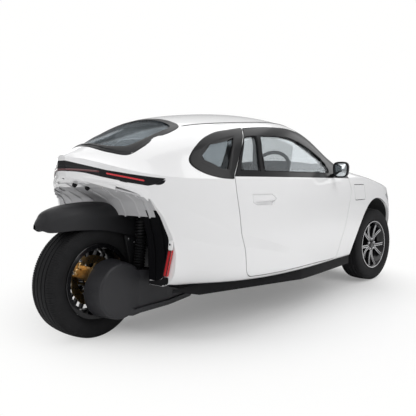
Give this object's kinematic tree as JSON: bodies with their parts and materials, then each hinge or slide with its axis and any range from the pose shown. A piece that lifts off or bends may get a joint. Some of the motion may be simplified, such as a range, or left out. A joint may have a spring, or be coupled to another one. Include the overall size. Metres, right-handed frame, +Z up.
{
  "type": "three wheeled car",
  "caption": "Enclosed two-door electric car on three wheels: two steered front wheels and one rear wheel on a single-sided swing arm, with hinged doors, bonnet and charge flap.",
  "frame": {"origin": "middle of the bounding box on the ground", "axes": "+X forward to the nose, +Y to the left, +Z up"},
  "size_m": [3.442, 1.7804, 1.3259],
  "materials": {
    "white_paint": "clear-coated white",
    "black_trim": "satin black moulding",
    "gloss_black": "polished black",
    "window_glass": "lightly tinted",
    "tyre_rubber": "moulded tread",
    "dark_alloy": "black with turned faces",
    "disc_steel": "turned",
    "gold_alloy": "gold anodised",
    "lamp_red": "smoked red lens",
    "lamp_clear": "clear lens over black",
    "cabin_grey": "grained",
    "seat_cloth": "woven",
    "mirror_face": "silvered",
    "black_steel": "satin black",
    "battery_case": "plain",
    "charcoal_cover": "charcoal moulding"
  },
  "bodies": {
    "root": {"roof_panel": "white_paint", "tail_panel": "white_paint", "front_bumper": "white_paint", "front_fender_right": "white_paint", "front_fender_left": "white_paint", "body_side_right": "white_paint", "body_side_left": "white_paint", "cowl_panel": "black_trim", "wheel_well_liner": "black_trim", "front_arch_liners": "black_trim", "undertray": "black_trim", "rear_mudguard": "black_trim", "charge_socket": "black_trim", "quarter_window_frames": "gloss_black", "rear_glass": "window_glass", "windscreen": "window_glass", "quarter_windows": "window_glass", "rear_caliper": "gold_alloy", "tail_lamp": "lamp_red", "rear_reflectors": "lamp_red", "headlamps": "lamp_clear", "dashboard": "cabin_grey", "steering_column": "cabin_grey", "seat_cushions": "seat_cloth", "seat_backs": "seat_cloth", "floor_panel": "black_steel", "front_bulkhead": "black_steel", "front_arms": "black_steel", "front_dampers": "black_steel", "front_subframe": "black_steel", "swing_arm_mount": "black_steel", "rear_shock": "black_steel", "battery_pack": "battery_case", "swing_arm": "charcoal_cover"},
    "door_right": {"door_panel_right": "white_paint", "door_window_frame_right": "gloss_black", "door_glass_right": "window_glass", "door_mirror_right": "gloss_black", "mirror_glass_right": "mirror_face"},
    "door_left": {"door_panel_left": "white_paint", "door_window_frame_left": "gloss_black", "door_glass_left": "window_glass", "door_mirror_left": "gloss_black", "mirror_glass_left": "mirror_face"},
    "bonnet": {"bonnet": "white_paint"},
    "charge_flap": {"charge_flap": "white_paint"},
    "knuckle_right": {"front_knuckle_right": "black_steel"},
    "knuckle_left": {"front_knuckle_left": "black_steel"},
    "front_wheel_right": {"front_tyre_right": "tyre_rubber", "front_rim_right": "dark_alloy", "front_brake_disc_right": "disc_steel"},
    "front_wheel_left": {"front_tyre_left": "tyre_rubber", "front_rim_left": "dark_alloy", "front_brake_disc_left": "disc_steel"},
    "rear_wheel": {"rear_tyre": "tyre_rubber", "rear_rim": "dark_alloy", "rear_brake_disc": "gold_alloy"},
    "steering_wheel": {"steering_wheel": "cabin_grey"}
  },
  "joints": [
    {"name": "steer_right", "type": "hinge", "parent": "root", "child": "knuckle_right", "pos_m": [1.05, -0.59, 0.19], "axis": [0, 0, 1], "range_deg": [-21, 39]},
    {"name": "steer_left", "type": "hinge", "parent": "root", "child": "knuckle_left", "pos_m": [1.05, 0.59, 0.19], "axis": [0, 0, 1], "range_deg": [-21, 39]},
    {"name": "roll_front_right", "type": "hinge", "parent": "knuckle_right", "child": "front_wheel_right", "pos_m": [1.03436, -0.68877, 0.311], "axis": [0.1564, 0.9877, 0], "continuous": true},
    {"name": "roll_front_left", "type": "hinge", "parent": "knuckle_left", "child": "front_wheel_left", "pos_m": [1.06564, 0.68877, 0.311], "axis": [0.1564, 0.9877, 0], "continuous": true},
    {"name": "roll_rear", "type": "hinge", "parent": "root", "child": "rear_wheel", "pos_m": [-1.39, 0, 0.311], "axis": [0, 1, 0], "continuous": true},
    {"name": "turn_steering_wheel", "type": "hinge", "parent": "root", "child": "steering_wheel", "pos_m": [0.01056, -0.31, 0.9275], "axis": [-0.9063, 0, 0.4226], "range_deg": [-315, 585]},
    {"name": "open_door_right", "type": "hinge", "parent": "root", "child": "door_right", "pos_m": [0.42248, -0.803, 0.6], "axis": [0, 0, 1], "range_deg": [0, 65]},
    {"name": "open_door_left", "type": "hinge", "parent": "root", "child": "door_left", "pos_m": [0.42248, 0.803, 0.6], "axis": [0, 0, -1], "range_deg": [0, 65]},
    {"name": "open_bonnet", "type": "hinge", "parent": "root", "child": "bonnet", "pos_m": [0.68, 0, 0.975], "axis": [0, -1, 0], "range_deg": [0, 60]},
    {"name": "open_charge_flap", "type": "hinge", "parent": "root", "child": "charge_flap", "pos_m": [0.7328, -0.803, 0.77], "axis": [0, 0, 1], "range_deg": [0, 100]}
  ],
  "couplings": [
    {"joint": "steer_left", "follows": "steer_right", "ratio": 1},
    {"joint": "turn_steering_wheel", "follows": "steer_right", "ratio": 15}
  ]
}
